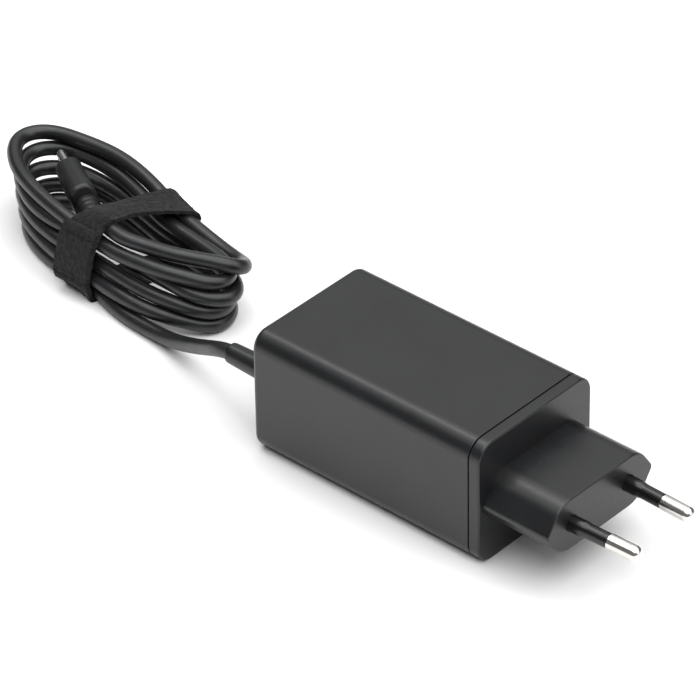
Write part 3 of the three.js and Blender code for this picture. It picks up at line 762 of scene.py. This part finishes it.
def make_tab(outer, angle, normal):
    """The strap's free end, pressed onto its near side from the hinge down."""
    turn = [k for k, a in enumerate(angle) if math.pi * 0.5 < a < math.pi * 1.5]
    row = outer[ACROSS // 2]
    turn = [k for k in turn if 2.4 < row[k, 2] < 17.8 and row[k, 1] < 4]
    rng = np.random.default_rng(11)
    across = np.linspace(-1, 1, ACROSS) * (STRAP_HALF - 0.1)
    vertices = []
    for lift in (0.1, 1.0):
        for r, offset in enumerate(across):
            for n, k in enumerate(turn):
                taper = min(1.0, 0.35 + 0.25 * min(n, len(turn) - 1 - n))
                out = 0.1 + (lift - 0.1) * taper
                y = row[k, 1] + normal[k, 0] * out
                z = row[k, 2] + normal[k, 1] * out
                fuzz = rng.normal(0, 0.045) if lift > 0.5 else 0.0
                edge = rng.normal(0, 0.1) if r in (0, ACROSS - 1) else 0.0
                y += normal[k, 0] * fuzz
                vertices.append((STRAP_X + offset + STRAP_SLANT * y + edge, y, z))
    count, base = len(turn), ACROSS * len(turn)
    faces = []
    for r in range(ACROSS - 1):
        for k in range(count - 1):
            a, b, c, d = r * count + k, r * count + k + 1, (r + 1) * count + k + 1, (r + 1) * count + k
            faces += [(a, d, c, b), (base + a, base + b, base + c, base + d)]
    rim = [r * count for r in range(ACROSS)]
    rim += [(ACROSS - 1) * count + k for k in range(1, count)]
    rim += [r * count + count - 1 for r in range(ACROSS - 2, -1, -1)]
    rim += list(range(count - 2, 0, -1))
    for a, b in zip(rim, rim[1:] + rim[:1]):
        faces.append((a, b, base + b, base + a))
    tab = mesh_object("tab", vertices, faces, 60)
    return add_piece(tab, "strap_fabric", "strap_tab", body=TAB_BODY)


strap, strap_outer, strap_angle, strap_normal = make_strap()
tab = make_tab(strap_outer, strap_angle, strap_normal)

# ---- Floor and lights ----------------------------------------------------------------------------------

def make_floor():
    floor = bpy.data.meshes.new("floor")
    s = 3.0
    floor.from_pydata([(-s, -s, 0), (s, -s, 0), (s, s, 0), (-s, s, 0)], [], [(0, 1, 2, 3)])
    obj = bpy.data.objects.new("floor", floor)
    bpy.context.scene.collection.objects.link(obj)
    material, nodes, links, shader, where = new_material("floor_paper")
    cloud = noise(nodes, links, where, 6, 2)
    colour_by(nodes, links, shader, cloud, (0.90, 0.90, 0.90), (0.92, 0.92, 0.92))
    links.new(spread(nodes, links, cloud, 0.62, 0.7), shader.inputs["Roughness"])
    shader.inputs["Specular IOR Level"].default_value = 0.2
    floor.materials.append(material)


def softbox(name, place, aim, width, height, radiance):
    """A rectangular light whose face has the given radiance."""
    data = bpy.data.lights.new(name, "AREA")
    data.shape = "RECTANGLE"
    data.size, data.size_y = width, height
    data.energy = radiance * math.pi * width * height
    obj = bpy.data.objects.new(name, data)
    obj.location = place
    obj.rotation_euler = (Vector(aim) - Vector(place)).to_track_quat("-Z", "Y").to_euler()
    bpy.context.scene.collection.objects.link(obj)


def make_lights():
    world = bpy.data.worlds.new("studio")
    bpy.context.scene.world = world
    world.use_nodes = True
    background = world.node_tree.nodes["Background"]
    background.inputs["Color"].default_value = (1, 1, 1, 1)
    background.inputs["Strength"].default_value = 0.16
    middle = (-0.02, 0, 0.01)
    softbox("overhead", (0.15, 0.0, 1.3), middle, 2.0, 2.0, 2.9)
    softbox("back_panel", (-1.1, 1.2, 1.1), middle, 1.5, 1.1, 0.6)
    softbox("strip", (-0.85, 0.12, 1.15), middle, 0.35, 0.8, 3.2)
    softbox("side", (1.4, 0.3, 0.7), middle, 0.9, 0.9, 2.4)


make_floor()
make_lights()
bpy.context.scene.view_settings.view_transform = "Standard"
